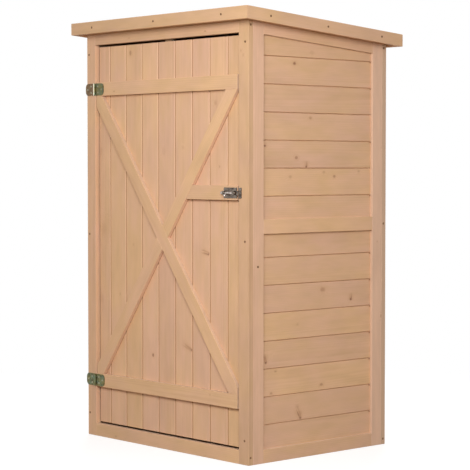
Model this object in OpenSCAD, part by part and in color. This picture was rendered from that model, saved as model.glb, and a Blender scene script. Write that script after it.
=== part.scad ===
// Upright tool shed: a framed and boarded body under a pent roof, with a ledged and braced door
// on butterfly hinges, held shut by a small barrel bolt.
// Origin at the middle of the base, +X to the right seen from the front, +Y to the back, +Z up.

/* [Body] */
// Width of the body over its side frames
body_w = 670; // [620:5:720]
// Depth of the body over its front and back frames
body_d = 500; // [450:5:560]
// Height of the roof's front edge above the ground
front_h = 1150; // [1100:5:1220]
// Drop of the roof from its front edge to its back edge
roof_fall = 43; // [30:1:60]

/* [Frame] */
// Width of the stiles, ledges and braces
batten_w = 37; // [34:0.5:40]
// Thickness of the frame stiles and rails
batten_t = 15; // [14:0.5:17]
// Height of the sill and the bottom rails
foot_rail_h = 35; // [32:0.5:38]
// Depth of the header and the top rails under the roof boards
top_rail_h = 41; // [36:0.5:46]
// Height of the side frames' middle rail above the ground
mid_rail_z = 582; // [560:1:600]

/* [Wall boards] */
// Thickness of the wall boards
board_t = 8; // [6:0.5:10]
// Height of one wall board
wall_board_h = 71; // [64:0.5:78]
// Height of the lowest joint between the wall boards
low_joint_z = 96; // [80:1:110]
// Height of the first joint above the middle rail
high_joint_z = 677; // [660:1:690]
// Width of the V joint between two boards
joint_w = 3.6; // [2:0.2:5]
// Depth of the V joint between two boards
joint_d = 2; // [1:0.2:3]

/* [Roof] */
// Overhang of the roof past the body's sides
side_over = 30; // [20:1:45]
// Overhang of the roof past the front and the back
end_over = 32.5; // [22:0.5:48]
// Height of the fascia boards
fascia_h = 32.5; // [28:0.5:38]
// Thickness of the fascia boards
fascia_t = 12; // [9:0.5:15]
// Thickness of the roof boards
deck_t = 13.5; // [11:0.5:16]
// Width of one roof board
roof_board_w = 90; // [70:1:110]
// Thickness of the roofing felt
felt_t = 2; // [1:0.25:3]
// Depth of the felt below the fascia boards' top edge
felt_drop = 2.5; // [1:0.25:4]
// Room between the slanted faces that lie on each other
seat_gap = 0.1; // [0.05:0.05:0.3]

/* [Floor] */
// Thickness of the floor boards
floor_t = 12; // [9:0.5:15]
// Depth of the floor below the top of the sill
floor_drop = 3; // [1:0.5:6]

/* [Door] */
// Gap between the door and the hinge post
hinge_gap = 5.2; // [5:0.1:7]
// Gap between the door and the bolt post
bolt_gap = 6; // [6:0.1:7]
// Gap between the door and the header
head_gap = 6; // [5:0.5:9]
// Gap between the door and the sill
sill_gap = 5; // [5:0.5:8]
// Thickness of the door boards
door_board_t = 8; // [6:0.5:10]
// Width of one door board
door_board_w = 69.8; // [60:0.2:76]
// Thickness of the ledges and braces
ledge_t = 11; // [9:0.5:13]
// Distance from the door's top edge to the top ledge
top_ledge_in = 98; // [80:1:120]
// Distance from the door's bottom edge to the bottom ledge
bottom_ledge_in = 99; // [80:1:120]
// Height of the lock rail's underside above the ground
lock_rail_z = 667.5; // [640:0.5:700]
// Shift of the long brace's top end from the door's edge
long_top_in = 1; // [0:1:20]
// Shift of the long brace's foot from the door's edge
long_foot_in = 10; // [0:1:25]
// Shift of the halved brace's top end from the door's edge
cross_top_in = 22; // [0:1:30]
// Shift of the halved brace's foot from the door's edge
cross_foot_in = 6; // [0:1:20]
// Width of the stop block behind the header
stop_w = 30; // [20:1:45]
// Thickness of the stop block
stop_t = 10; // [8:0.5:18]
// Shift of the stop block from the middle of the doorway
stop_x = -8; // [-60:1:60]
// Reach of the stop block below the header
stop_reach = 26; // [18:1:36]
// Gap between the shut door and the stop block
stop_gap = 5; // [5:0.5:8]

/* [Hinges] */
// Distance from the door's edge to the hinge pin's axis
pin_out = 6.5; // [5.5:0.1:7.5]
// Clearance of the hinge barrel in front of the post
barrel_play = 0.3; // [0.2:0.05:0.5]
// Length of one hinge leaf from the pin's axis
leaf_l = 40; // [34:0.5:46]
// Height of the hinge leaves
leaf_h = 33; // [28:0.5:34]
// Thickness of the hinge leaves
leaf_t = 1.6; // [1.2:0.1:2.2]
// Radius of the leaves' outer corners
leaf_r = 11; // [6:0.5:13]
// Radius of the hinge barrel
barrel_r = 2.8; // [2.5:0.1:3.4]
// Radius of the hinge pin
pin_r = 1.4; // [1.2:0.1:1.6]
// Play between the hinge pin and its bore
pin_play = 0.06; // [0.04:0.01:0.1]
// Gap between neighbouring hinge knuckles
knuckle_gap = 0.5; // [0.4:0.1:0.8]
// Share of the hinge's height taken by the middle knuckle
middle_knuckle_share = 0.4; // [0.3:0.02:0.5]
// Radius of the screw holes in the leaves
leaf_hole_r = 1.8; // [1.2:0.1:2.2]
// Share of the leaf's length at which its outer hole lies
outer_hole_share = 0.76; // [0.7:0.02:0.82]
// Share of the leaf's length at which its two inner holes lie
inner_hole_share = 0.38; // [0.3:0.02:0.5]
// Share of the leaf's height from its middle to an inner hole
hole_rise_share = 0.26; // [0.2:0.02:0.32]

/* [Bolt] */
// Length of the bolt's plate on the lock rail
plate_l = 49; // [47:0.5:56]
// Height of the bolt's plates
plate_h = 27; // [23:0.5:31]
// Thickness of the bolt's plates and straps
plate_t = 1.5; // [1.2:0.1:2]
// Radius of the plates' corners
plate_r = 2; // [1:0.25:3]
// Radius of the screw holes in the plates
plate_hole_r = 1.4; // [1:0.1:1.8]
// Distance from a plate's long edge to its screw holes
plate_hole_in = 3.4; // [3:0.1:4]
// Share of the plate's length at which its first pair of holes lies
plate_hole_share = 0.36; // [0.3:0.02:0.42]
// Distance from the plate's nose to the door's edge
plate_in = 0.2; // [0.2:0.1:2]
// Width of the straps over the rod
strap_w = 7; // [6:0.5:8]
// Distance from a strap to the end of its plate
strap_in = 2; // [1:0.5:3]
// Radius of the bolt's rod
rod_r = 3.2; // [2.8:0.1:3.6]
// Play between the rod and the straps
rod_play = 0.4; // [0.3:0.05:0.6]
// Travel of the bolt
bolt_travel = 14; // [12:0.5:15]
// Length of the rod's tail that stays in its strap when the bolt is shut
tail_hold = 1; // [0.5:0.5:3]
// Gap between the tail strap and the knob when drawn back
knob_gap = 2; // [1.5:0.5:4]
// Length of the knob from the rod's axis
knob_l = 12.5; // [10:0.5:15]
// Radius of the knob's stem
knob_stem_r = 2.3; // [1.8:0.1:2.6]
// Radius of the knob's round head
knob_r = 3.3; // [2.8:0.1:3.8]
// Angle of the knob below the level
knob_tilt = 45; // [20:1:60]
// Length of the keeper's plate on the post
keeper_l = 11.5; // [10.5:0.5:14]
// Distance from the keeper to the post's edge
keeper_in = 0.2; // [0.2:0.1:1.5]

/* [Hidden] */
// Sides of a turned surface
$fn = 48;
// Reach of a cutting solid past the face it cuts
overrun = 1;
half_share = 0.5;
fir_frame = [0.86, 0.68, 0.50];
fir_board = [0.84, 0.64, 0.47];
felt_grey = [0.30, 0.31, 0.32];
zinc = [0.62, 0.60, 0.48];
steel = [0.66, 0.66, 0.66];

half_w = body_w * half_share;
half_d = body_d * half_share;
roof_half_w = half_w + side_over;
roof_half_d = half_d + end_over;
fall_rate = roof_fall / (roof_half_d + roof_half_d);
rim_x = roof_half_w - fascia_t;
rim_y = roof_half_d - fascia_t;

// Walls: inner faces of the frames, and the frame's window between its stiles
in_x = half_w - batten_t;
in_y = half_d - batten_t;
stile_y = in_y - batten_w;
post_x = half_w - batten_w;
felt_under = felt_drop + felt_t;
deck_top = felt_under + seat_gap;
deck_under = deck_top + deck_t;
wall_top = deck_under + seat_gap;
rail_under = wall_top + top_rail_h;
board_top = rail_under + seat_gap;
mid_top_z = mid_rail_z + batten_w;
header_z = front_h - fall_rate * end_over - rail_under;

// Door: its edges, its faces, and the field between its ledges
door_x0 = hinge_gap - post_x;
door_x1 = post_x - bolt_gap;
door_z0 = foot_rail_h + sill_gap;
door_z1 = header_z - head_gap;
door_face = ledge_t - half_d;
door_back = door_face + door_board_t;
top_ledge_z = door_z1 - top_ledge_in - batten_w;
bottom_ledge_z = door_z0 + bottom_ledge_in;
field_z0 = bottom_ledge_z + batten_w;
brace_half = batten_w * half_share;
brace_run = batten_w + batten_w;
long_top = [door_x0 + long_top_in, top_ledge_z];
long_foot = [door_x1 - long_foot_in, field_z0];
cross_top = [door_x1 - cross_top_in, top_ledge_z];
cross_foot = [door_x0 + cross_foot_in, field_z0];

// Hinges: the pin's axis stands in front of the post's edge, and the barrel just clears the post's face
pin_x = door_x0 - pin_out;
leaf_back = barrel_r + barrel_play;
pin_y = -half_d - leaf_back;
middle_knuckle_h = leaf_h * middle_knuckle_share;
leaf_step = barrel_r + knuckle_gap;
top_hinge_z = top_ledge_z + (batten_w - leaf_h) * half_share;
bottom_hinge_z = bottom_ledge_z + (batten_w - leaf_h) * half_share;

// Bolt: its axis, and the ends of its plates
bolt_z = lock_rail_z + batten_w * half_share;
strap_half = rod_r + rod_play;
strap_out = strap_half + plate_t;
rod_y = -half_d - plate_t - strap_half;
plate_x1 = door_x1 - plate_in;
plate_x0 = plate_x1 - plate_l;
knob_x = plate_x0 + strap_in + strap_w + knob_gap + knob_r;
keeper_x0 = post_x + keeper_in;
tail_out = bolt_travel - strap_in - strap_w + tail_hold;

// Height of the roof's top face at a depth
function roof_z(y) = front_h - fall_rate * (y + roof_half_d);
// Outline in depth and height of a slanted layer between two depths below the roof's top face
function layer(y0, y1, low, high) =
    [[y0, roof_z(y0) - low], [y1, roof_z(y1) - low], [y1, roof_z(y1) - high], [y0, roof_z(y0) - high]];
// Outline in depth and height of an upright that stands at z and ends below the roof's top face
function upright(y0, y1, z, low) =
    [[y0, z], [y1, z], [y1, roof_z(y1) - low], [y0, roof_z(y0) - low]];
// Direction of a line, and the direction to its left
function along(p, q) = (q - p) / norm(q - p);
function left_of(d) = [-d[1], d[0]];
// Outline of a strip beside the line from p to q, between two distances to its left
function strip(p, q, near, far) =
    let (d = along(p, q), n = left_of(d), a = p - d * brace_run, b = q + d * brace_run)
    [a + n * near, b + n * near, b + n * far, a + n * far];

module block(low, high)
{
    translate(low)
        cube(high - low);
}

// Outline in depth and height, drawn out along X
module drawn_x(x0, x1, outline)
{
    translate([x0, 0, 0])
        rotate([90, 0, 90])
            linear_extrude(height = x1 - x0)
                polygon(outline);
}

// Outline in width and height, drawn out along Y
module drawn_y(y0, y1, outline)
{
    translate([0, y1, 0])
        rotate([90, 0, 0])
            linear_extrude(height = y1 - y0)
                polygon(outline);
}

// Cutter for one V joint along X, open towards -Y
module vee_x(reach)
{
    flare = joint_w * half_share * (joint_d + overrun) / joint_d;
    drawn_x(-reach, reach, [[joint_d, 0], [-overrun, flare], [-overrun, -flare]]);
}

// Shape for the left side made from the one for the right side
module sided(side)
{
    if (side > 0)
        children();
    else
        mirror([1, 0, 0])
            children();
}

// Front frame
module post(side)
{
    color(fir_frame)
        sided(side)
            drawn_x(post_x, half_w, upright(-half_d, -in_y, 0, wall_top));
}

module left_door_post()
{
    post(-1);
}

module right_door_post()
{
    post(1);
}

module header()
{
    color(fir_frame)
        drawn_x(-post_x, post_x, upright(-half_d, -in_y, header_z, wall_top));
}

module sill()
{
    color(fir_frame)
        block([-post_x, -half_d, 0], [post_x, -in_y, foot_rail_h]);
}

// Stop block under the roof boards, just behind the top of the shut door
module door_stop()
{
    y0 = door_back + stop_gap;
    x0 = stop_x - stop_w * half_share;
    color(fir_frame)
        drawn_x(x0, x0 + stop_w, upright(y0, y0 + stop_t, header_z - stop_reach, wall_top));
}

// Side frames
module side_front_stile(side)
{
    color(fir_frame)
        sided(side)
            drawn_x(in_x, half_w, upright(-in_y, -stile_y, 0, wall_top));
}

module side_back_stile(side)
{
    color(fir_frame)
        sided(side)
            drawn_x(in_x, half_w, upright(stile_y, in_y, 0, wall_top));
}

module side_top_rail(side)
{
    color(fir_frame)
        sided(side)
            drawn_x(in_x, half_w, layer(-stile_y, stile_y, rail_under, wall_top));
}

module side_middle_rail(side)
{
    color(fir_frame)
        sided(side)
            block([in_x, -stile_y, mid_rail_z], [half_w, stile_y, mid_top_z]);
}

module side_bottom_rail(side)
{
    color(fir_frame)
        sided(side)
            block([in_x, -stile_y, 0], [half_w, stile_y, foot_rail_h]);
}

// Joints of the side boards from one height up to another, cut into their outer face
module side_joints(first, limit)
{
    for (z = [first : wall_board_h : limit])
        translate([in_x + board_t, 0, z])
            rotate([0, 0, 90])
                vee_x(half_d);
}

module side_upper_boards(side)
{
    color(fir_board)
        sided(side)
            difference()
            {
                drawn_x(in_x, in_x + board_t, upright(-stile_y, stile_y, mid_top_z, board_top));
                side_joints(high_joint_z, header_z - joint_w);
            }
}

module side_lower_boards(side)
{
    color(fir_board)
        sided(side)
            difference()
            {
                block([in_x, -stile_y, foot_rail_h], [in_x + board_t, stile_y, mid_rail_z]);
                side_joints(low_joint_z, mid_rail_z - joint_w);
            }
}

module left_front_stile()
{
    side_front_stile(-1);
}

module left_back_stile()
{
    side_back_stile(-1);
}

module left_top_rail()
{
    side_top_rail(-1);
}

module left_middle_rail()
{
    side_middle_rail(-1);
}

module left_bottom_rail()
{
    side_bottom_rail(-1);
}

module left_upper_boards()
{
    side_upper_boards(-1);
}

module left_lower_boards()
{
    side_lower_boards(-1);
}

module right_front_stile()
{
    side_front_stile(1);
}

module right_back_stile()
{
    side_back_stile(1);
}

module right_top_rail()
{
    side_top_rail(1);
}

module right_middle_rail()
{
    side_middle_rail(1);
}

module right_bottom_rail()
{
    side_bottom_rail(1);
}

module right_upper_boards()
{
    side_upper_boards(1);
}

module right_lower_boards()
{
    side_lower_boards(1);
}

// Back frame
module back_stile(side)
{
    color(fir_frame)
        sided(side)
            drawn_x(post_x, half_w, upright(in_y, half_d, 0, wall_top));
}

module back_left_stile()
{
    back_stile(-1);
}

module back_right_stile()
{
    back_stile(1);
}

module back_top_rail()
{
    color(fir_frame)
        drawn_x(-post_x, post_x, layer(in_y, half_d, rail_under, wall_top));
}

module back_bottom_rail()
{
    color(fir_frame)
        block([-post_x, in_y, 0], [post_x, half_d, foot_rail_h]);
}

module back_boards()
{
    face_y = in_y + board_t;
    top_z = roof_z(in_y) - rail_under;
    color(fir_board)
        difference()
        {
            drawn_x(-post_x, post_x, upright(in_y, face_y, foot_rail_h, board_top));
            for (z = [low_joint_z : wall_board_h : top_z - joint_w])
                translate([0, face_y, z])
                    rotate([0, 0, 180])
                        vee_x(half_w);
        }
}

// Floor between the four bottom rails, boarded from side to side
module floor_boards()
{
    top_z = foot_rail_h - floor_drop;
    count = floor((in_y + in_y) / wall_board_h);
    first = -wall_board_h * (count - 1) * half_share;
    color(fir_board)
        difference()
        {
            block([-in_x, -in_y, top_z - floor_t], [in_x, in_y, top_z]);
            for (i = [0 : count - 1])
                translate([0, first + wall_board_h * i, top_z])
                    rotate([-90, 0, 0])
                        vee_x(half_w);
        }
}

// Roof
module roof_boards()
{
    count = floor((rim_y + rim_y) / roof_board_w);
    first = -roof_board_w * (count - 1) * half_share;
    color(fir_board)
        difference()
        {
            drawn_x(-rim_x, rim_x, layer(-rim_y, rim_y, deck_under, deck_top));
            for (i = [0 : count - 1])
                let (y = first + roof_board_w * i)
                    translate([0, y, roof_z(y) - deck_under])
                        rotate([90, 0, 0])
                            vee_x(roof_half_w);
        }
}

module roof_felt()
{
    color(felt_grey)
        drawn_x(-rim_x, rim_x, layer(-rim_y, rim_y, felt_under, felt_drop));
}

// Fascia board cut from the slanted rim by its outline seen from above
module fascia(plan)
{
    color(fir_frame)
        intersection()
        {
            drawn_x(-roof_half_w, roof_half_w, layer(-roof_half_d, roof_half_d, fascia_h, 0));
            linear_extrude(height = front_h)
                polygon(plan);
        }
}

// Outline seen from above of a board with mitred ends, at a depth and with a half length
function mitred(y, half) =
    [[-half, y], [half, y], [half - fascia_t, y + fascia_t], [fascia_t - half, y + fascia_t]];

module front_fascia()
{
    fascia(mitred(-roof_half_d, roof_half_w));
}

module back_fascia()
{
    fascia([for (p = mitred(-roof_half_d, roof_half_w)) [p[0], -p[1]]]);
}

module left_fascia()
{
    fascia([for (p = mitred(-roof_half_w, roof_half_d)) [p[1], p[0]]]);
}

module right_fascia()
{
    fascia([for (p = mitred(-roof_half_w, roof_half_d)) [-p[1], p[0]]]);
}

// Door
module door_boards()
{
    wide = door_x1 - door_x0;
    count = floor(wide / door_board_w);
    first = (door_x0 + door_x1 - door_board_w * (count - 1)) * half_share;
    color(fir_board)
        difference()
        {
            block([door_x0, door_face, door_z0], [door_x1, door_back, door_z1]);
            for (i = [0 : count - 1])
                translate([first + door_board_w * i, door_face, 0])
                    rotate([0, 90, 0])
                        vee_x(front_h);
        }
}

module ledge(z)
{
    color(fir_frame)
        block([door_x0, -half_d, z], [door_x1, door_face, z + batten_w]);
}

module door_top_ledge()
{
    ledge(top_ledge_z);
}

module door_bottom_ledge()
{
    ledge(bottom_ledge_z);
}

// Part of the door's field between the ledges that all the given outlines share
module brace(first, second)
{
    color(fir_frame)
        intersection()
        {
            block([door_x0, -half_d, field_z0], [door_x1, door_face, top_ledge_z]);
            drawn_y(-half_d, door_face, first);
            drawn_y(-half_d, door_face, second);
        }
}

function long_band() = strip(long_top, long_foot, -brace_half, brace_half);
function cross_band() = strip(cross_foot, cross_top, -brace_half, brace_half);

module door_long_brace()
{
    brace(long_band(), long_band());
}

module door_upper_brace()
{
    brace(cross_band(), strip(long_top, long_foot, brace_half, front_h));
}

module door_lower_brace()
{
    brace(cross_band(), strip(long_top, long_foot, -front_h, -brace_half));
}

module door_lock_rail()
{
    rail = [[door_x0, lock_rail_z], [door_x1, lock_rail_z],
            [door_x1, lock_rail_z + batten_w], [door_x0, lock_rail_z + batten_w]];
    brace(rail, strip(cross_foot, cross_top, -front_h, -brace_half));
}

// Leaf of a butterfly hinge that reaches along +X from the pin's axis, with its outer corners rounded
module leaf_plate()
{
    flat_l = leaf_l - leaf_r;
    front = leaf_back - leaf_t;
    difference()
    {
        union()
        {
            block([leaf_step, front, 0], [flat_l, leaf_back, leaf_h]);
            block([flat_l, front, leaf_r], [leaf_l, leaf_back, leaf_h - leaf_r]);
            for (z = [leaf_r, leaf_h - leaf_r])
                translate([flat_l, leaf_back, z])
                    rotate([90, 0, 0])
                        cylinder(h = leaf_t, r = leaf_r);
        }
        leaf_hole(leaf_l * outer_hole_share, leaf_h * half_share);
        for (share = [half_share - hole_rise_share, half_share + hole_rise_share])
            leaf_hole(leaf_l * inner_hole_share, leaf_h * share);
    }
}

// Cutter for a screw hole in a leaf
module leaf_hole(x, z)
{
    translate([x, leaf_back + overrun, z])
        rotate([90, 0, 0])
            cylinder(h = leaf_t + overrun + overrun, r = leaf_hole_r);
}

// Knuckle with the tongue that joins it to its leaf
module knuckle(z, h)
{
    translate([0, 0, z])
        cylinder(h = h, r = barrel_r);
    block([0, barrel_r - leaf_t, z], [leaf_step, barrel_r, z + h]);
}

end_knuckle_h = (leaf_h - middle_knuckle_h) * half_share - knuckle_gap;

module frame_leaf(z)
{
    color(zinc)
        translate([pin_x, pin_y, z])
            mirror([1, 0, 0])
                union()
                {
                    leaf_plate();
                    knuckle(0, end_knuckle_h);
                    knuckle(leaf_h - end_knuckle_h, end_knuckle_h);
                    cylinder(h = leaf_h, r = pin_r);
                }
}

module door_leaf(z)
{
    color(zinc)
        translate([pin_x, pin_y, z])
            difference()
            {
                union()
                {
                    leaf_plate();
                    knuckle((leaf_h - middle_knuckle_h) * half_share, middle_knuckle_h);
                }
                cylinder(h = leaf_h, r = pin_r + pin_play);
            }
}

module top_hinge_frame_leaf()
{
    frame_leaf(top_hinge_z);
}

module top_hinge_door_leaf()
{
    door_leaf(top_hinge_z);
}

module bottom_hinge_frame_leaf()
{
    frame_leaf(bottom_hinge_z);
}

module bottom_hinge_door_leaf()
{
    door_leaf(bottom_hinge_z);
}

// Bent strap over the rod, from one end along X to the other
module strap(x0)
{
    y1 = -half_d - plate_t;
    difference()
    {
        block([x0, rod_y - strap_out, bolt_z - strap_out], [x0 + strap_w, y1, bolt_z + strap_out]);
        block([x0 - overrun, rod_y - strap_half, bolt_z - strap_half],
              [x0 + strap_w + overrun, y1, bolt_z + strap_half]);
    }
}

// Plate with round corners and a screw hole above and below the rod at each given place
module plate(x0, x1, holes)
{
    front = -half_d - plate_t;
    foot = bolt_z - plate_h * half_share;
    head = bolt_z + plate_h * half_share;
    difference()
    {
        union()
        {
            block([x0 + plate_r, front, foot], [x1 - plate_r, -half_d, head]);
            block([x0, front, foot + plate_r], [x1, -half_d, head - plate_r]);
            for (x = [x0 + plate_r, x1 - plate_r], z = [foot + plate_r, head - plate_r])
                translate([x, -half_d, z])
                    rotate([90, 0, 0])
                        cylinder(h = plate_t, r = plate_r);
        }
        for (x = holes, z = [foot + plate_hole_in, head - plate_hole_in])
            translate([x, -half_d + overrun, z])
                rotate([90, 0, 0])
                    cylinder(h = plate_t + overrun + overrun, r = plate_hole_r);
    }
}

module bolt_plate()
{
    color(steel)
        union()
        {
            plate(plate_x0, plate_x1,
                  [plate_x0 + plate_l * plate_hole_share, plate_x1 - plate_l * plate_hole_share]);
            strap(plate_x0 + strap_in);
            strap(plate_x1 - strap_in - strap_w);
        }
}

// Rod with its knob, drawn back
module bolt()
{
    color(steel)
        union()
        {
            translate([plate_x0 - tail_out, rod_y, bolt_z])
                rotate([0, 90, 0])
                    cylinder(h = door_x1 - plate_x0 + tail_out, r = rod_r);
            translate([knob_x, rod_y, bolt_z])
                rotate([90 + knob_tilt, 0, 0])
                    union()
                    {
                        cylinder(h = knob_l - knob_r, r = knob_stem_r);
                        translate([0, 0, knob_l - knob_r])
                            sphere(r = knob_r);
                    }
        }
}

module bolt_keeper()
{
    color(steel)
        union()
        {
            plate(keeper_x0, keeper_x0 + keeper_l, [keeper_x0 + keeper_l * half_share]);
            strap(keeper_x0 + (keeper_l - strap_w) * half_share);
        }
}

left_door_post();
right_door_post();
header();
sill();
door_stop();
left_front_stile();
left_back_stile();
left_top_rail();
left_middle_rail();
left_bottom_rail();
left_upper_boards();
left_lower_boards();
right_front_stile();
right_back_stile();
right_top_rail();
right_middle_rail();
right_bottom_rail();
right_upper_boards();
right_lower_boards();
back_left_stile();
back_right_stile();
back_top_rail();
back_bottom_rail();
back_boards();
floor_boards();
roof_boards();
roof_felt();
front_fascia();
back_fascia();
left_fascia();
right_fascia();
door_boards();
door_top_ledge();
door_bottom_ledge();
door_long_brace();
door_upper_brace();
door_lower_brace();
door_lock_rail();
top_hinge_frame_leaf();
top_hinge_door_leaf();
bottom_hinge_frame_leaf();
bottom_hinge_door_leaf();
bolt_plate();
bolt();
bolt_keeper();
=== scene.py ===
"""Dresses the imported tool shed: eased fir timber, roofing felt, plated fittings, screws and a studio."""

import logging
import math
import zlib
from dataclasses import dataclass, field
from enum import Enum
from typing import Iterable, NamedTuple, Sequence, Union

import bpy
import numpy as np
from mathutils import Matrix, Vector


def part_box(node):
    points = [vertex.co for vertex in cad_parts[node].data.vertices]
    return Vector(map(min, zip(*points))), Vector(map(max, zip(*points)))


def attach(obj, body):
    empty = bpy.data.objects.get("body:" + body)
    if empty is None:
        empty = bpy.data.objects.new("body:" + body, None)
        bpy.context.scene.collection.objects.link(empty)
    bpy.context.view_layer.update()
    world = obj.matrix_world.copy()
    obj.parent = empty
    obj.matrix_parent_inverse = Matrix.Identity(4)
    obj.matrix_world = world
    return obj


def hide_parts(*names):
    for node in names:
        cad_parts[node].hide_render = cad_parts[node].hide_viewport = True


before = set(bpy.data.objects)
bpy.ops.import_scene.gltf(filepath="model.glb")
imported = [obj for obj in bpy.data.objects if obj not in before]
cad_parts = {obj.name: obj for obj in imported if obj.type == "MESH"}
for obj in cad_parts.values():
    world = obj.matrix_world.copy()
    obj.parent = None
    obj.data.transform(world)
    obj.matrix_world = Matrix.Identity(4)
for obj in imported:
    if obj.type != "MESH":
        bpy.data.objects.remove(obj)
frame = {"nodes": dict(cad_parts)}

LOG = logging.getLogger("tool_shed")
MM = 0.001
Array = np.ndarray
Material = bpy.types.Material
Colour = tuple[float, float, float]
Place = tuple[float, float]
Point = tuple[float, float, float]
Tint = tuple[float, float, float]
Rows = Iterable[Sequence[float]]


class Body(Enum):
    """Bodies that a piece can ride on."""

    SHED = "shed"
    DOOR = "door"


class Slot(Enum):
    """Material slots of the record."""

    FRAME = "fir_frame"
    BOARDS = "fir_boards"
    DOOR = "fir_door"
    FELT = "roof_felt"
    ZINC = "zinc"
    STEEL = "steel"


class Lie(Enum):
    """The way a sawn face looks: the two axes of its outline, then the axis out of the face."""

    FRONT = ((1, 0, 0), (0, 0, 1), (0, -1, 0))
    BACK = ((-1, 0, 0), (0, 0, 1), (0, 1, 0))
    LEFT = ((0, -1, 0), (0, 0, 1), (-1, 0, 0))
    RIGHT = ((0, 1, 0), (0, 0, 1), (1, 0, 0))
    TOP = ((1, 0, 0), (0, 1, 0), (0, 0, 1))

    @property
    def axes(self) -> Array:
        """The three axes as rows."""
        return np.array(self.value, dtype=float)

    def spans(self, node: str) -> Array:
        """Lowest and highest place of a node's box along each of the three axes."""
        corners = np.array([list(corner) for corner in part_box(node)]) @ self.axes.T
        return np.sort(corners, axis=0).T


class Grain(Enum):
    """Direction of the fibres in a face's own outline."""

    ALONG = (1.0, 0.0)
    UP = (0.0, 1.0)


class HalfPlane(NamedTuple):
    """The points of an outline that stay: those whose product with the normal is at least the offset."""

    normal: Place
    offset: float


class Knot(NamedTuple):
    """A branch cut across: its place on the face in metres, its radius, and how dark it is from 0 to 1."""

    along: float
    up: float
    radius: float
    dark: float


class Spike(NamedTuple):
    """A branch cut lengthwise: the place of its eye, and the way from there to its pale end."""

    along: float
    up: float
    run_along: float
    run_up: float


class Face(NamedTuple):
    """A run of boards: its knots and tints, drawn at random where none are given, and its spikes."""

    knots: Sequence[Knot] | None = None
    spikes: Sequence[Spike] = ()
    tints: Sequence[Tint] = ()


@dataclass(frozen=True)
class Pent:
    """The roof's slope, from the high front edge down to the back."""

    front_h: float = 1150 * MM
    fall: float = 43 * MM
    half_w: float = 365 * MM
    half_d: float = 282.5 * MM
    felt_drop: float = 2.5 * MM
    felt_t: float = 2 * MM
    deck_top: float = 4.6 * MM
    deck_under: float = 18.1 * MM
    wall_top: float = 18.2 * MM
    rail_under: float = 59.2 * MM
    board_top: float = 59.3 * MM
    fascia_t: float = 12 * MM
    fascia_h: float = 32.5 * MM

    @property
    def rate(self) -> float:
        """Fall per length of depth."""
        return self.fall / (2 * self.half_d)

    def height(self, y: float) -> float:
        """Height of the roof's top face at a depth."""
        return self.front_h - self.rate * (y + self.half_d)

    def below(self, lie: Lie, depth: float) -> HalfPlane:
        """What lies lower than a depth under the roof's top face, in the outline of a side's face."""
        lean = lie.axes[0][1] * self.rate
        return HalfPlane((-lean, -1.0), depth - self.height(0.0))

    def above(self, lie: Lie, depth: float) -> HalfPlane:
        """What lies higher than a depth under the roof's top face, in the outline of a side's face."""
        normal, offset = self.below(lie, depth)
        return HalfPlane((-normal[0], -normal[1]), -offset)


PENT = Pent()
NEAR = 1.5 * MM
WALL_PITCH = 71 * MM
LOW_JOINT = 96 * MM
TUCK = 2.5 * MM
PIN_X = -299.3 * MM


def rectangle(a: Sequence[float], b: Sequence[float]) -> Array:
    """Corners of a rectangle, counter-clockwise, from its spans on the two axes."""
    return np.array([(a[0], b[0]), (a[1], b[0]), (a[1], b[1]), (a[0], b[1])])


def clipped(outline: Array, planes: Iterable[HalfPlane]) -> Array:
    """A convex outline cut by half planes, one after the other.

    Each corner stays where its side value s = p . n - offset is not negative. Where s changes sign along an
    edge, the point at s / (s - s_next) of the edge is put in. A point near the one after it is left out.

    Args:
        outline: Corner points, counter-clockwise.
        planes: The half planes that stay.

    Returns:
        The corner points that are left, counter-clockwise.
    """
    for plane in planes:
        side = outline @ np.array(plane.normal) - plane.offset
        after, after_side = np.roll(outline, -1, axis=0), np.roll(side, -1)
        inside = side >= 0
        changes = inside != (after_side >= 0)
        share = np.where(changes, side / np.where(changes, side - after_side, 1.0), 0.0)
        crossing = outline + share[:, None] * (after - outline)
        points = np.stack([outline, crossing], axis=1)[np.stack([inside, changes], axis=1)]
        outline = points[np.linalg.norm(np.roll(points, -1, axis=0) - points, axis=1) > NEAR]
    return outline


def centred(count: int, pitch: float) -> Array:
    """Places of some joints, spaced evenly about 0."""
    return pitch * (np.arange(count) - (count - 1) / 2)


def draw(name: str) -> np.random.Generator:
    """Random numbers that are the same for a name on each run."""
    return np.random.default_rng(zlib.crc32(name.encode()))


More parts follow.
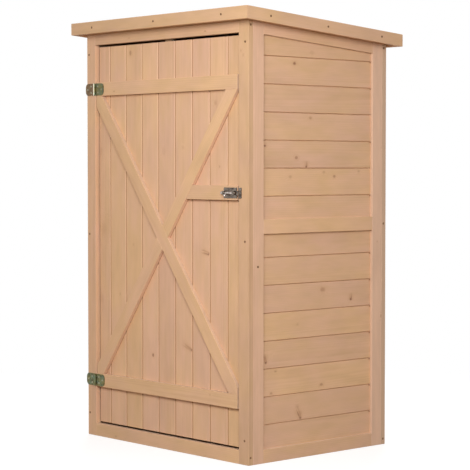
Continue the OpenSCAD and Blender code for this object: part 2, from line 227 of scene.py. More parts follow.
@dataclass
class MeshData:
    """Points, faces and point attributes of a mesh."""

    points: Array
    quads: Array
    caps: list[list[int]]
    layers: dict[str, Array] = field(default_factory=dict)

    @classmethod
    def from_rings(cls, rings: Array, layers: dict[str, Array] | None = None) -> "MeshData":
        """A closed skin over a stack of rings.

        Neighbouring points of neighbouring rings make quads, and the first and last ring are capped.

        Args:
            rings: Points by ring, place in the ring and axis, counter-clockwise about the stack's direction.
            layers: Three or four numbers for each point, by name.

        Returns:
            The mesh.
        """
        count, size, _ = rings.shape
        low = np.arange(count - 1)[:, None] * size
        here = np.arange(size)[None, :]
        then = (here + 1) % size
        quads = np.stack([low + here, low + then, low + size + then, low + size + here], axis=-1)
        top = (count - 1) * size + np.arange(size)
        caps = [np.arange(size)[::-1].tolist(), top.tolist()]
        return cls(rings.reshape(-1, 3), quads.reshape(-1, 4), caps, layers or {})

    @classmethod
    def joined(cls, parts: Sequence["MeshData"]) -> "MeshData":
        """Several meshes as one.

        Args:
            parts: Meshes with the same layers.

        Returns:
            The joined mesh.
        """
        starts = np.cumsum([0] + [len(part.points) for part in parts])
        caps = [[int(i + start) for i in cap] for part, start in zip(parts, starts) for cap in part.caps]
        return cls(
            np.concatenate([part.points for part in parts]),
            np.concatenate([part.quads + start for part, start in zip(parts, starts)]),
            caps,
            {key: np.concatenate([part.layers[key] for part in parts]) for key in parts[0].layers},
        )

    def add(self, name: str, body: Body, slot: Slot, finish: Material, nodes: Sequence[str] = ()) -> None:
        """Puts the mesh into the scene as a piece.

        Args:
            name: Name of the piece.
            body: Body that it rides on.
            slot: Slot of the record; not used.
            finish: Its material.
            nodes: Nodes that it stands for.
        """
        mesh = bpy.data.meshes.new(name)
        mesh.from_pydata(self.points.tolist(), [], self.quads.tolist() + self.caps)
        for key, values in self.layers.items():
            kind, target = ("FLOAT_VECTOR", "vector") if values.shape[1] == 3 else ("FLOAT_COLOR", "color")
            layer = mesh.attributes.new(key, kind, "POINT")
            layer.data.foreach_set(target, np.ascontiguousarray(values, dtype=np.float32).ravel())
        mesh.materials.append(finish)
        mesh.update()
        piece = bpy.data.objects.new(name, mesh)
        bpy.context.scene.collection.objects.link(piece)
        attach(piece, body.value)
        if nodes:
            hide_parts(*nodes)
        LOG.info("%s rides on %s, %d points", name, body.value, len(self.points))


@dataclass(frozen=True)
class Edge:
    """How edges are cut: the radius of the eased ones, and the width, depth and stain of a V joint's half."""

    ease: float = 0.8 * MM
    vee_in: float = 1.6 * MM
    vee_down: float = 2.4 * MM
    stain: float = 0.6

    def eased(self, depth: Array) -> Array:
        """How far a quarter round is drawn in at some depths: r - root(r ** 2 - (r - d) ** 2)."""
        return self.ease - np.sqrt(self.ease**2 - np.clip(self.ease - depth, 0, None) ** 2)


SAWN = Edge()
DOOR_EDGE = Edge(vee_in=2.8 * MM, vee_down=2.8 * MM, stain=1.0)


@dataclass
class Stock:
    """One sawn piece of timber: a convex outline carried through its thickness, with eased or V-cut edges."""

    lie: Lie
    outline: Array
    low: float
    high: float
    fibres: Place
    cut: Place
    tint: Tint
    edge: Edge = SAWN
    joints: tuple[bool, bool] = (False, False)
    # Painted shade on the edge faces, then painted shade at the foot of lower edges.
    sawn: bool = True
    footed: bool = False
    knots: Sequence[Knot] = ()
    spike: Spike | None = None
    slope: float = 0.0

    KNOT_LAYERS = ("knot_a", "knot_b", "knot_c", "knot_d")
    CORNER = 0.4 * MM
    STEPS = np.array((0.0, 0.03, 0.1, 0.27, 0.55, 1.0))
    ALONG_FIBRES = 0.99
    LOWER_EDGE = 0.2

    def rings(self) -> tuple[Array, Array]:
        """The outline carried up the thickness, drawn in at both faces.

        A corner whose two edges, with the inward normals n and m, are drawn in by a and b moves by
        ((a - b c) n + (b - a c) m) / (1 - c ** 2), where c = n . m. Each corner is then cut off a little. A V
        joint is drawn in by i (1 - d / h) at the depth d.

        Returns:
            Points by ring, place in the ring, and outline axes and thickness, then the stain at each place in
            a ring: more than 0 in a joint, and -1 along a lower edge whose foot gets painted shade.
        """
        ahead = np.roll(self.outline, -1, axis=0) - self.outline
        ahead /= np.linalg.norm(ahead, axis=1, keepdims=True)
        inward = np.stack([-ahead[:, 1], ahead[:, 0]], axis=1)
        lean = inward @ np.array([-self.fibres[1], self.fibres[0]])
        joint = (lean > self.ALONG_FIBRES) & self.joints[0]
        joint |= (lean < -self.ALONG_FIBRES) & self.joints[1]
        down = self.STEPS * (self.edge.vee_down if any(self.joints) else self.edge.ease)
        back = self.STEPS * self.edge.ease
        vee = self.edge.vee_in * (1 - self.STEPS)
        at_face = np.where(joint[None, :], vee[:, None], self.edge.eased(down)[:, None])
        at_back = np.broadcast_to(self.edge.eased(back)[:, None], at_face.shape)
        inset = np.concatenate([at_back, at_face[::-1]])
        level = np.concatenate([self.low + back, (self.high - down)[::-1]])
        last = np.roll(inset, 1, axis=1)
        before, behind = np.roll(inward, 1, axis=0), np.roll(ahead, 1, axis=0)
        bend = np.sum(inward * before, axis=1)
        first, second = (last - inset * bend) / (1 - bend**2), (inset - last * bend) / (1 - bend**2)
        corner = self.outline + first[..., None] * before + second[..., None] * inward
        flat = np.stack([corner - self.CORNER * behind, corner + self.CORNER * ahead], axis=2)
        flat = flat.reshape(len(level), -1, 2)
        rise = np.broadcast_to(level[:, None, None], flat.shape[:2] + (1,))
        # -1 marks where painted shade goes at the foot of a lower edge.
        stain = joint * self.edge.stain - (self.footed & (inward[:, 1] > self.LOWER_EDGE))
        return np.concatenate([flat, rise], axis=-1), np.stack([np.roll(stain, 1), stain], axis=1).ravel()

    def in_fibres(self, places: Array) -> Array:
        """Outline points along and across the fibres, from the outline's middle."""
        a, b = self.fibres
        return (places - self.outline.mean(axis=0)) @ np.array([(a, -b), (b, a)])

    def mesh(self) -> MeshData:
        """The piece in the part's frame, with its grain layers.

        Returns:
            The mesh. Each point has its place in the log, and the board's cut, stain, rim, tint and knots.
            The rim is 1 where the edge faces get painted shade, and the thickness in millimetres where the
            foot of the lower edges gets painted shade as well.
        """
        rings, stain = self.rings()
        flat = rings.reshape(-1, 3)
        grain = np.concatenate([self.in_fibres(flat[:, :2]), flat[:, 2:] - self.high], axis=1)
        ones = np.ones((len(flat), 1))
        rim = (self.high - self.low) / MM if self.footed else self.sawn
        cut = ones * np.array((*self.cut, 0.0, rim))
        cut[:, 2] = np.tile(stain, len(rings))
        layers = {"grain": grain, "cut": cut, "tint": ones * np.array(self.tint)}
        spots = np.zeros((len(self.KNOT_LAYERS), 4))
        if len(self.knots):
            table = np.array(self.knots[: len(self.KNOT_LAYERS)])
            spots[: len(table)] = np.concatenate([self.in_fibres(table[:, :2]), table[:, 2:]], axis=1)
        layers |= {key: ones * spot for key, spot in zip(self.KNOT_LAYERS, spots)}
        spike = np.zeros(4)
        if self.spike:
            eye, run = np.split(np.array(self.spike), 2)
            ends = self.in_fibres(np.stack([eye, eye + run]))
            spike = np.concatenate([ends[0], ends[1] - ends[0]])
        layers["spike"] = ones * spike
        world = rings @ self.lie.axes
        world[..., 2] -= self.slope * world[..., 1]
        return MeshData.from_rings(world, layers)


Value = Union["Sock", float, Colour]


class Sock:
    """A socket that takes part in Python arithmetic, with one Math node for each operation.

    The numbers are the places of a Mix node's factor, its two colours and its colour output.
    """

    MIX = {"data_type": "RGBA", "clamp_factor": True}
    SHARE, FIRST, SECOND, MIXED = 0, 6, 7, 2

    def __init__(self, shade: "Shade", socket: bpy.types.NodeSocket) -> None:
        """Wraps a socket of a material's tree."""
        self.shade = shade
        self.socket = socket

    def math(self, operation: str, *terms: Value) -> "Sock":
        """One Math node over the given terms."""
        return self.shade.node("ShaderNodeMath", {"operation": operation}, dict(enumerate(terms)))

    def __add__(self, other: Value) -> "Sock":
        """Sum."""
        return self.math("ADD", self, other)

    def __radd__(self, other: Value) -> "Sock":
        """Sum with a number in front."""
        return self.math("ADD", other, self)

    def __sub__(self, other: Value) -> "Sock":
        """Difference."""
        return self.math("SUBTRACT", self, other)

    def __rsub__(self, other: Value) -> "Sock":
        """Difference from a number."""
        return self.math("SUBTRACT", other, self)

    def __mul__(self, other: Value) -> "Sock":
        """Product."""
        return self.math("MULTIPLY", self, other)

    def __rmul__(self, other: Value) -> "Sock":
        """Product with a number in front."""
        return self.math("MULTIPLY", other, self)

    def __truediv__(self, other: Value) -> "Sock":
        """Quotient."""
        return self.math("DIVIDE", self, other)

    def __abs__(self) -> "Sock":
        """Size without sign."""
        return self.math("ABSOLUTE", self)

    def root(self) -> "Sock":
        """Square root."""
        return self.math("SQRT", self)

    def fraction(self) -> "Sock":
        """What is left past the whole number."""
        return self.math("FRACT", self)

    def most(self, other: Value) -> "Sock":
        """The larger of two values."""
        return self.math("MAXIMUM", self, other)

    def ramp(self, start: Value, end: Value) -> "Sock":
        """Smooth rise from 0 at start to 1 at end."""
        inputs = {"Value": self, "From Min": start, "From Max": end}
        return self.shade.node("ShaderNodeMapRange", {"interpolation_type": "SMOOTHSTEP"}, inputs)

    def fade(self, start: Value, end: Value) -> "Sock":
        """Smooth fall from 1 at start to 0 at end."""
        return 1.0 - self.ramp(start, end)

    def between(self, first: Value, second: Value) -> "Sock":
        """Colour between two colours, with this value as the share of the second."""
        inputs = {self.SHARE: self, self.FIRST: first, self.SECOND: second}
        return self.shade.node("ShaderNodeMix", self.MIX, inputs, self.MIXED)

    def scaled(self, by: Value) -> "Sock":
        """A colour or vector made longer or shorter."""
        return self.shade.node("ShaderNodeVectorMath", {"operation": "SCALE"}, {0: self, "Scale": by})


class Shade:
    """The node tree of a material or of the world, built by calls that return sockets."""

    def __init__(self, tree: bpy.types.NodeTree) -> None:
        """Empties the tree."""
        self.tree = tree
        tree.nodes.clear()

    @classmethod
    def material(cls, name: str) -> tuple["Shade", Material]:
        """Starts a material.

        Args:
            name: Name of the material.

        Returns:
            The builder of its tree, and the material.
        """
        material = bpy.data.materials.new(name)
        material.use_nodes = True
        return cls(material.node_tree), material

    def node(
        self, kind: str, settings: dict | None = None, inputs: dict | None = None, out: int | str = 0
    ) -> Sock:
        """Adds one node.

        Args:
            kind: Type of the node.
            settings: Its properties, set before its sockets.
            inputs: Values or sockets by the name or number of the input.
            out: Name or number of the output to return.

        Returns:
            The output, or the first input of a node that has no output.
        """
        node = self.tree.nodes.new(kind)
        for key, value in (settings or {}).items():
            setattr(node, key, value)
        for key, value in (inputs or {}).items():
            socket = node.inputs[key]
            if isinstance(value, Sock):
                self.tree.links.new(value.socket, socket)
            elif isinstance(value, tuple) and socket.type == "RGBA":
                socket.default_value = (*value, 1.0)
            else:
                socket.default_value = value
        return Sock(self, node.outputs[out] if len(node.outputs) else node.inputs[0])

    def split(self, vector: Sock) -> tuple[Sock, Sock, Sock]:
        """The three parts of a vector."""
        parts = self.node("ShaderNodeSeparateXYZ", None, {0: vector}).socket.node
        return tuple(Sock(self, socket) for socket in parts.outputs)

    def layer(self, name: str) -> tuple[Sock, Sock, Sock]:
        """The three numbers of a point attribute."""
        return self.split(self.node("ShaderNodeAttribute", {"attribute_name": name}, None, "Vector"))

    def layer_of_four(self, name: str) -> tuple[Sock, Sock, Sock, Sock]:
        """The four numbers of a point attribute."""
        first = self.node("ShaderNodeAttribute", {"attribute_name": name}, None, "Color")
        return (*self.split(first), Sock(self, first.socket.node.outputs["Alpha"]))

    def point(self) -> Sock:
        """The place on the object in metres."""
        return self.node("ShaderNodeTexCoord", None, None, "Object")

    def join(self, x: Value, y: Value, z: Value) -> Sock:
        """A vector from its three parts."""
        return self.node("ShaderNodeCombineXYZ", None, {0: x, 1: y, 2: z})

    def noise(self, at: Sock, scale: float, detail: float = 2.0, rough: float = 0.5) -> Sock:
        """Soft noise from -0.5 to 0.5, with so many waves per unit, finer layers, and weight of those."""
        inputs = {"Vector": at, "Scale": scale, "Detail": detail, "Roughness": rough}
        return self.node("ShaderNodeTexNoise", None, inputs) - 0.5

    def bump(self, height: Sock, strength: float, distance: float) -> Sock:
        """Normal raised by a height, of which 1 is the distance in metres."""
        inputs = {"Strength": strength, "Distance": distance, "Height": height}
        return self.node("ShaderNodeBump", None, inputs)

    def surface(self, inputs: dict) -> None:
        """Ends the tree in a Principled shader with the given sockets."""
        shader = self.node("ShaderNodeBsdfPrincipled", None, inputs)
        self.node("ShaderNodeOutputMaterial", None, {"Surface": shader})


@dataclass(frozen=True)
class Fir:
    """Planed fir under a thin clear stain: growth rings, streaks, knots and a tint for each board.

    Waves are counted per metre, along and across the fibres. The offsets part the noise of the boards.
    """

    name: str
    pale: Colour = (0.738, 0.471, 0.260)
    rosy: Colour = (0.690, 0.430, 0.288)
    late: Colour = (0.560, 0.305, 0.160)
    streaked: Colour = (0.575, 0.325, 0.180)
    bleached_and_edge_light: Colour = (0.735, 0.492, 0.352)
    sawn_edge: Colour = (0.590, 0.405, 0.285)
    knot_heart: Colour = (0.340, 0.145, 0.065)
    knot_rim: Colour = (0.180, 0.066, 0.030)
    halo: Colour = (0.500, 0.255, 0.120)
    joint: Colour = (0.335, 0.145, 0.048)
    ring_width: float = 3.4 * MM
    sway: float = 13.0 * MM
    ripple: float = 1.3 * MM
    sway_waves: Place = (2.3, 7.0)
    wobble_waves: Place = (90.0, 90.0)
    ripple_waves: Place = (7.0, 70.0)
    streak_waves: Place = (1.3, 34.0)
    patch_waves: Place = (6.0, 12.0)
    cloud_waves: Place = (13.0, 48.0)
    tone_waves: Place = (8.5, 15.0)
    fibre_waves: Place = (16.0, 750.0)
    pith_beside: float = 140 * MM
    pith_under: Place = (9 * MM, 45 * MM)
    # Depths of the painted shade on edge faces, of the painted shade at feet, and of the grooves' stain.
    rim_depth: Place = (-1.4 * MM, -0.3 * MM)
    foot_shade_rise: Place = (0.8 * MM, 3.0 * MM)
    groove_start: Place = (-1.8 * MM, -0.7 * MM)
    groove_end: Place = (-6.5 * MM, -4.5 * MM)
    knot_squash: float = 0.7
    least_radius: float = 0.1 * MM
    spike_eye: float = 3.8 * MM
    spike_width: float = 4.0 * MM
    spike_length: Place = (1.0 * MM, 4.0 * MM)
    least_width: float = 1.2 * MM
    least_square: float = 1e-8
    offsets: Point = (37.0, 41.0, 29.0)
    relief: float = 0.3 * MM

    def material(self) -> Material:
        """Builds the wood.

        The log's growth rings are shells about a pith line beside the board. Their distance bends round each
        knot, and the fraction of distance over ring width gives the dark late wood. Stain gathers in the V
        joints, by depth under the face. Painted shade darkens the foot of the door battens' lower edges,
        where they meet the boards. The edge faces below the face are painted greyer and darker as painted
        shade, except the door battens' lower edges, which are painted paler as painted light.

        Returns:
            The material.
        """
        s, material = Shade.material(self.name)
        u, v, w = s.layer("grain")
        c1, c2, jointed, sawn = s.layer_of_four("cut")
        hue, value, figure = s.layer("tint")
        off_u, off_v, off_w = c1 * self.offsets[0], c2 * self.offsets[1], c1 * self.offsets[2]

        def drift(waves: Place, detail: float, rough: float = 0.5) -> Sock:
            """Noise drawn out along the fibres, different on each board."""
            at = s.join(u * waves[0] + off_u, v * waves[1] + off_v, w * waves[1] + off_w)
            return s.noise(at, 1.0, detail, rough)

        sway = drift(self.sway_waves, 1.0)
        wobble = drift(self.wobble_waves, 1.0)
        core, halo, swell = self.knots(s, u, v, c1, wobble)
        across = v + sway * self.sway - (c1 - 0.5) * self.pith_beside
        deep = w - self.pith_under[0] - c2 * self.pith_under[1]
        shell = (across * across + deep * deep).root() + swell + u * (c2 - 0.5) * 0.010
        shell = shell + drift(self.ripple_waves, 2.0) * self.ripple
        ring = (shell / (self.ring_width * (0.75 + 0.5 * c1))).fraction()
        late = ring.ramp(0.30, 0.86) * ring.fade(0.90, 1.0)
        streak = drift(self.streak_waves, 3.0, 0.6)
        patch = drift(self.patch_waves, 2.0)
        cloud = drift(self.cloud_waves, 2.0)
        tone = drift(self.tone_waves, 1.0)
        fibre = drift(self.fibre_waves, 2.0, 0.65)
        colour = (0.5 + hue * 0.4 + patch * 1.9 + cloud * 1.0).between(self.pale, self.rosy)
        colour = (hue - 1.0).between(colour, self.bleached_and_edge_light)
        colour = (late * (0.09 + 0.14 * figure)).between(colour, self.late)
        colour = (streak.ramp(0.05, 0.30) * (0.16 + 0.26 * figure)).between(colour, self.streaked)
        colour = colour.scaled(1.0 + value * 0.10 - streak * 0.12 + fibre * 0.08 + cloud * 0.22 + tone * 0.16)
        colour = (halo * 0.26).between(colour, self.halo)
        colour = core.between(colour, core.ramp(0.3, 0.95).between(self.knot_heart, self.knot_rim))
        lower = 0.0 - jointed
        # Painted shade: edge faces below the face turn greyer and darker; the door battens' lower edges turn
        # paler instead, a painted light.
        rim = w.fade(*self.rim_depth) * sawn.ramp(0.0, 1.0)
        colour = (rim * 0.85).between(colour, lower.between(self.sawn_edge, self.bleached_and_edge_light))
        # Painted shade at the foot of the door battens' lower edges, where they meet the boards.
        foot = (w + sawn * MM).fade(*self.foot_shade_rise) * lower
        colour = (foot * 0.75).between(colour, self.joint)
        groove = w.fade(*self.groove_start) * w.ramp(*self.groove_end) * jointed
        colour = (groove * 0.95).between(colour, self.joint)
        height = late * 0.35 + fibre * 0.9 + streak * 0.5 - core * 0.3
        s.surface({
            "Base Color": colour,
            "Roughness": 0.60 - late * 0.07 + fibre * 0.14 - core * 0.12,
            "Specular IOR Level": 0.36,
            "Normal": s.bump(height, 0.3, self.relief),
        })
        return material

    def knots(self, s: Shade, u: Sock, v: Sock, c1: Sock, wobble: Sock) -> tuple[Sock, Sock, Sock]:
        """Fields of the round knots and of the spike knot.

        A round knot's distance is root((q du) ** 2 + dv ** 2) / radius, with the squash q along the fibres.
        A spike has a round eye, and ribs that fan out from it: their place is the distance from the axis over
        a width that grows away from the eye.

        Args:
            s: Builder of the tree.
            u: Place along the fibres.
            v: Place across the fibres.
            c1: Number of the board's own cut.
            wobble: Noise that makes the outlines uneven.

        Returns:
            Darkness of the knots, the stain round them, and how far the growth rings swell.
        """
        core, halo, swell = 0.0, 0.0, 0.0
        for key in Stock.KNOT_LAYERS:
            ku, kv, radius, dark = s.layer_of_four(key)
            reach = radius.most(self.least_radius)
            du, dv = (u - ku) * self.knot_squash, v - kv
            far = (du * du + dv * dv).root() / reach * (1.0 + wobble * 0.9)
            core = dark * far.fade(0.45, 1.45) + core
            halo = dark * far.fade(0.6, 3.4) + halo
            swell = dark.ramp(0.0, 0.1) * far.fade(0.3, 3.6) * reach * 1.6 + swell
        su, sv, run_u, run_v = s.layer_of_four("spike")
        square = run_u * run_u + run_v * run_v
        length = square.most(self.least_square).root()
        there = length.ramp(*self.spike_length)
        pu, pv = u - su, v - sv
        share = (pu * run_u + pv * run_v) / square.most(self.least_square)
        side = (pu * run_v - pv * run_u) / length + wobble * 2.0 * MM
        side = side / ((1.2 + share * 0.8) * self.spike_width).most(self.least_width)
        rib = s.noise(s.join(side * 2.2, share * 0.8, c1 * 19.0), 1.0, 1.0)
        eye = ((pu * pu + pv * pv).root() / self.spike_eye * (1.0 + wobble * 0.9)).fade(0.4, 1.3)
        span = share.ramp(-0.1, 0.05) * share.fade(0.5, 1.0) * there
        fan = span * abs(side).fade(0.4, 1.2)
        core = core + there * eye * 0.36 + fan * (0.46 - share * 0.34 + rib * 1.8).most(0.0)
        halo = halo + span * abs(side).fade(0.6, 3.0) * 0.6
        swell = swell + span * abs(side).fade(0.3, 3.0) * 3.0 * MM
        return core, halo, swell


@dataclass(frozen=True)
class Felt:
    """Mineral roofing felt: fine slate grains in bitumen."""

    name: str = "mineral_felt"
    slate: Colour = (0.105, 0.112, 0.108)
    chip: Colour = (0.235, 0.245, 0.235)
    bitumen: Colour = (0.030, 0.031, 0.031)
    grain_scale: float = 620.0
    shade_scale: float = 480.0
    patch_scale: float = 9.0
    relief: float = 0.5 * MM

    def material(self) -> Material:
        """Builds the felt from cells of about a millimetre, lighter or darker one by one.

        Returns:
            The material.
        """
        s, material = Shade.material(self.name)
        at = s.point()
        grain = s.node("ShaderNodeTexVoronoi", None, {"Vector": at, "Scale": self.grain_scale}, "Distance")
        shade = s.noise(at, self.shade_scale, 2.0, 0.7)
        patch = s.noise(at, self.patch_scale, 3.0)
        colour = (0.45 + shade * 1.6 + patch * 0.5).between(self.slate, self.chip)
        colour = (grain.ramp(0.42, 0.75) * 0.7).between(colour, self.bitumen)
        s.surface({
            "Base Color": colour.scaled(1.0 + patch * 0.35),
            "Roughness": 0.86 + shade * 0.2,
            "Specular IOR Level": 0.3,
            "Normal": s.bump(1.0 - grain, 0.6, self.relief),
        })
        return material


@dataclass(frozen=True)
class Plating:
    """Thin metal plating with a mottled film and fine rub marks."""

    name: str
    bright: Colour
    film: Colour
    rough: float = 0.36
    mottle: float = 130.0
    speck_scale: float = 1400.0
    rub_along: float = 90.0
    rub_across: float = 2600.0
    relief: float = 0.12 * MM

    def material(self) -> Material:
        """Builds the metal: a film that comes and goes in patches over brighter plating.

        Returns:
            The material.
        """
        s, material = Shade.material(self.name)
        at = s.point()
        patch = s.noise(at, self.mottle, 3.0, 0.6)
        speck = s.noise(at, self.speck_scale, 2.0, 0.6)
        x, y, z = s.split(at)
        drawn = s.join(x * self.rub_along, y * self.rub_across, z * self.rub_across)
        rub = s.noise(drawn, 1.0, 2.0)
        colour = (0.5 + patch * 2.4 + speck * 0.7).between(self.bright, self.film)
        s.surface({
            "Base Color": colour.scaled(1.0 + rub * 0.2),
            "Metallic": 1.0,
            "Roughness": self.rough + patch * 0.35 + rub * 0.12,
            "Normal": s.bump(rub * 0.5 + speck * 0.5 + patch * 0.6, 0.25, self.relief),
        })
        return material


@dataclass(frozen=True)
class Passivated:
    """Yellow-passivated zinc of the hinges: olive film, russet and teal clouds, and a painted highlight on
    the knuckle.
    """

    name: str = "olive_zinc"
    olive: Colour = (0.205, 0.180, 0.070)
    russet: Colour = (0.230, 0.125, 0.070)
    teal: Colour = (0.135, 0.180, 0.120)
    deep: Colour = (0.050, 0.055, 0.028)
    # Colour of the painted highlight on the knuckle.
    knuckle_highlight: Colour = (0.900, 0.820, 0.660)
    pin_x: float = PIN_X
    knuckle_x: Place = (0.9 * MM, 2.3 * MM)
    knuckle_y: Place = (-253.5 * MM, -252.0 * MM)
    upper_z: Place = (0.4, 0.8)
    russet_x: Place = (-6.0 * MM, 8.0 * MM)
    cloud_scale: float = 85.0
    tone_scale: float = 120.0
    speck_scale: float = 900.0
    relief: float = 0.12 * MM

    def material(self) -> Material:
        """Builds the film: three clouds of colour, russet on the upper frame leaf, and a painted highlight on
        the front of the upper hinge's knuckle.

        Returns:
            The material.
        """
        s, material = Shade.material(self.name)
        at = s.point()
        x, y, z = s.split(at)
        cloud = s.noise(at, self.cloud_scale, 2.0, 0.6)
        tone = s.noise(s.join(y, z, x), self.tone_scale, 2.0, 0.6)
        speck = s.noise(at, self.speck_scale, 2.0, 0.6)
        upper = z.ramp(*self.upper_z)
        colour = (0.40 + cloud * 3.6).between(self.olive, self.teal)
        beside = (self.pin_x - x).ramp(*self.russet_x)
        colour = (beside * upper * 0.8 + tone).between(colour, self.russet)
        colour = (0.25 - upper * 0.15 + tone * 2.6 + speck * 1.4).between(colour, self.deep)
        # Painted highlight along the front of the upper hinge's knuckle, brighter and smoother there.
        painted_highlight = abs(x - self.pin_x).fade(*self.knuckle_x) * y.fade(*self.knuckle_y) * upper
        s.surface({
            "Base Color": painted_highlight.between(colour, self.knuckle_highlight),
            "Metallic": 1.0,
            "Roughness": 0.42 + cloud * 0.25 - painted_highlight * 0.12,
            "Normal": s.bump(speck * 0.5 + tone * 0.6, 0.25, self.relief),
        })
        return material


@dataclass(frozen=True)
class Finishes:
    """The finishes of the shed, built once."""

    frame: Material = field(default_factory=Fir("fir_frame_wood").material)
    boards: Material = field(default_factory=Fir("fir_board_wood", joint=(0.520, 0.240, 0.085)).material)
    door: Material = field(default_factory=Fir("fir_door_wood").material)
    felt: Material = field(default_factory=Felt().material)
    zinc: Material = field(default_factory=Passivated().material)
    steel: Material = field(
        default_factory=Plating("aged_steel", (0.300, 0.248, 0.205), (0.062, 0.047, 0.038), 0.32).material
    )
    rod: Material = field(
        default_factory=Plating("rubbed_steel", (0.700, 0.640, 0.600), (0.200, 0.170, 0.150), 0.24).material
    )
    # Frame and fascia screws: dark steel, partly their own colour and partly painted shade of the sunk holes
    # they sit in.
    screw: Material = field(
        default_factory=Plating("screw_steel_hole_shade", (0.3, 0.17, 0.09), (0.11, 0.06, 0.034), 0.50, 400.0).material
    )
    stud: Material = field(
        default_factory=Plating("rubbed_zinc", (0.44, 0.42, 0.32), (0.21, 0.195, 0.125), 0.38, 300.0).material
    )


@dataclass(frozen=True)
class FaceMarks:
    """Knots and tints read off the two faces that show, in millimetres from the body's middle and the ground.

    A knot has its place, radius and darkness, a spike its place and run, and a tint its hue, lightness and
    figure.
    """

    door_knots: Rows = (
        (-154, 1060, 4.5, 0.5), (-104, 840, 2.6, 0.7), (197, 915, 4.0, 0.25), (212, 752, 2.4, 0.35),
        (-59, 245, 3.0, 0.8), (-202, 402, 3.0, 0.2), (-286, 386, 9.0, 0.14), (-290, 793, 8.0, 0.16),
        (-276, 580, 12.0, 0.14), (-144, 540, 2.6, 0.2), (67, 802, 3.0, 0.2), (-12, 792, 7.0, 0.10),
    )
    door_spikes: Rows = ((170, 527, -34, 8), (102, 272, -46, 20))
    side_knots: Rows = (
        (-85, 1016, 3.8, 0.75), (-23, 1047, 5.0, 0.15), (-28, 878, 4.0, 0.4), (-78, 775, 3.6, 0.55),
        (-99, 726, 4.0, 0.3), (22, 738, 3.2, 0.3), (60, 727, 3.2, 0.55), (152, 740, 3.0, 0.3),
        (18, 431, 6.0, 0.42), (-73, 345, 3.0, 0.2), (-166, 175, 3.0, 0.4), (14, 182, 3.8, 0.5),
        (-151, 230, 2.4, 0.4), (-189, 805, 3.0, 0.8), (122, 401, 6.0, 0.10), (-66, 114, 6.0, 0.20),
        (-74, 134, 5.0, 0.16), (-187, 268, 6.0, 0.12),
    )
    side_spikes: Rows = (
        (-184, 254, -10, 24), (-62, 101, -18, 36), (-43, 751, 0, 20), (123, 399, 1, 22),
    )
    # The knots at the joints' open ends by the back stile are painted shade.
    stile_y: float = 196
    end_drop: float = 1.5
    joint_end_shade: Place = (2.6, 0.80)
    side_joint_ends: tuple[float, ...] = (1032, 961, 819, 748, 677, 522, 451, 380, 309, 238, 167, 96)
    door_tints: tuple[Tint, ...] = (
        (0.2, -0.2, 1.0), (-0.2, 0.1, 0.4), (-0.6, -0.2, 0.5), (0.2, 0.3, 0.3), (0.5, -0.2, 0.4),
        (0.5, 0.2, 0.4), (0.7, 0.1, 0.3), (0.3, -0.1, 0.9), (-0.9, -0.7, 0.6),
    )
    upper_tints: tuple[Tint, ...] = (
        (0.3, 0.0, 0.4), (-0.5, 0.1, 0.6), (0.4, -0.1, 0.5), (0.4, 0.0, 0.3), (0.2, -0.2, 0.4),
        (0.3, 0.0, 0.6), (0.0, -0.1, 0.3),
    )
    lower_tints: tuple[Tint, ...] = (
        (0.4, -0.1, 0.5), (0.5, 0.0, 0.6), (-0.6, 0.2, 0.5), (0.4, 0.0, 0.4), (-0.5, 0.1, 0.6),
        (0.4, -0.2, 0.4), (0.2, 0.0, 0.5), (0.3, 0.1, 0.7),
    )
    batten_tints: tuple[tuple[str, float, float, float], ...] = (
        ("left_door_post", 0.2, 0.1, 0.7), ("right_door_post", -0.2, -1.2, 0.9),
        ("header", -0.1, -0.8, 0.6), ("sill", -0.3, 0.0, 0.5), ("door_stop", -1.6, -1.0, 0.5),
        ("right_front_stile", 1.3, 0.3, 0.9), ("right_back_stile", 1.9, 0.3, 0.9),
        ("right_top_rail", 0.3, 0.1, 0.6), ("right_middle_rail", -0.6, 0.2, 0.6),
        ("right_bottom_rail", 0.1, 0.0, 0.5), ("door_top_ledge", -0.6, -0.2, 0.6),
        ("door_bottom_ledge", -0.6, -0.1, 0.9), ("door_long_brace", -0.7, -0.1, 0.6),
        ("door_upper_brace", -0.8, -0.1, 0.7), ("door_lower_brace", -0.6, -0.1, 0.6),
        ("door_lock_rail", -0.8, -0.9, 0.8), ("front_fascia", -0.8, -1.2, 0.4),
        ("right_fascia", -0.1, -0.5, 0.4),
    )
    batten_knots: tuple[tuple[str, float, float, float, float], ...] = (
        ("header", 169, 1099, 1.8, 0.5), ("header", -146, 1099, 2.4, 0.25),
        ("door_top_ledge", -213, 958, 2.4, 0.45), ("right_door_post", 306, 1043, 2.4, 0.3),
        ("right_door_post", 315, 1031, 3.0, 0.2), ("right_back_stile", 234, 349, 3.4, 0.35),
        ("right_back_stile", 238, 804, 3.0, 0.45), ("right_back_stile", 217, 551, 2.0, 0.3),
        ("right_front_stile", -241, 337, 3.0, 0.25), ("sill", -209, 8, 2.4, 0.3),
        ("door_bottom_ledge", 187, 164, 2.0, 0.2),
    )

    def knots(self, rows: Rows) -> list[Knot]:
        """Knots in metres from rows of place, radius and darkness."""
        return [Knot(a * MM, b * MM, size * MM, dark) for a, b, size, dark in rows]

    def face(self, knots: Rows, spikes: Rows, tints: Sequence[Tint]) -> Face:
        """A face in metres from rows of knots and spikes in millimetres."""
        own = [Spike(*(size * MM for size in row)) for row in spikes]
        return Face(self.knots(knots), own, tints)

    def on_side(self, tints: Sequence[Tint]) -> Face:
        """The right side's boards, with a dark knot at the open end of each joint at the back stile, as
        painted shade.
        """
        ends = [(self.stile_y, level - self.end_drop, *self.joint_end_shade) for level in self.side_joint_ends]
        return self.face([*self.side_knots, *ends], self.side_spikes, tints)

    def of_batten(self, node: str) -> dict:
        """Tint and knots of a batten, where they were read off.

        Args:
            node: Name of its node.

        Returns:
            Options of its stock.
        """
        tint = {name: tuple(rest) for name, *rest in self.batten_tints}.get(node)
        knots = self.knots([rest for name, *rest in self.batten_knots if name == node])
        return ({"tint": tint} if tint else {}) | {"knots": knots}


MARKS = FaceMarks()


